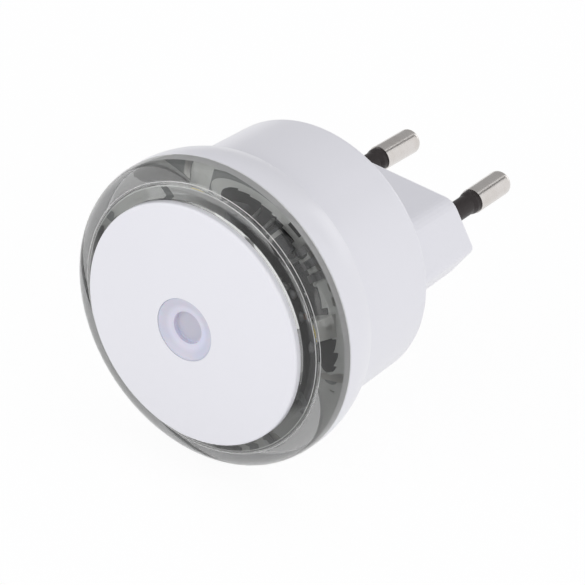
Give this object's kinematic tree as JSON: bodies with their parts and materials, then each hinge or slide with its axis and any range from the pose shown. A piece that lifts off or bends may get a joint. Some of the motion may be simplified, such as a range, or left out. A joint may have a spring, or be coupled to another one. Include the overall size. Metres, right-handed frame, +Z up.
{
  "type": "plug-in night light",
  "caption": "Round plug-in night light: domed white cover with a light-sensor window, clear light ring, stepped white body and a hexagonal boss with sleeved round pins.",
  "frame": {"origin": "centre of the plug's engagement face, between the two pins", "axes": "+Y along the pins into the wall, -Y towards the room through the front cover, +Z up, +X to the right seen from the front"},
  "size_m": [0.0502, 0.0682, 0.0502],
  "materials": {
    "white_plastic": "glossy moulded white, faintly violet",
    "clear_plastic": "polished clear plastic",
    "lens_plastic": "translucent violet white",
    "black_rubber": "matt black",
    "cell_ceramic": "ceramic cell with a wavy track",
    "board_laminate": "pale solder mask over glass laminate",
    "plated_steel": "zinc plated",
    "led_body": "white reflector body",
    "phosphor": "yellow phosphor",
    "black_epoxy": "moulded black epoxy",
    "film_red": "dipped film capacitor",
    "can_sleeve": "shrunk sleeve",
    "resistor_tan": "lacquered",
    "resistor_blue": "lacquered",
    "solder": "bright tin",
    "wire_brown": "insulated lead",
    "wire_blue": "insulated lead",
    "nickel_plate": "nickel-plated brass, polished",
    "sleeve_black": "satin black",
    "clamp_plastic": "moulded white"
  },
  "bodies": {
    "root": {"rear_housing": "white_plastic", "front_cover": "white_plastic", "clear_ring": "clear_plastic", "sensor_lens": "lens_plastic", "sensor_tube": "black_rubber", "photocell": "cell_ceramic", "circuit_board": "board_laminate", "board_screws": "plated_steel", "clamp_screws": "plated_steel", "leds": "led_body", "led_phosphor": "phosphor", "rectifier_diodes": "black_epoxy", "chip_resistors": "black_epoxy", "transistor": "black_epoxy", "dropper_capacitor": "film_red", "smoothing_capacitor": "can_sleeve", "bleeder_resistor": "resistor_tan", "fuse_resistor": "resistor_blue", "solder_joints": "solder", "live_wire": "wire_brown", "neutral_wire": "wire_blue", "pin_left": "nickel_plate", "pin_right": "nickel_plate", "pin_sleeve_left": "sleeve_black", "pin_sleeve_right": "sleeve_black", "pin_clamp": "clamp_plastic"}
  },
  "joints": []
}
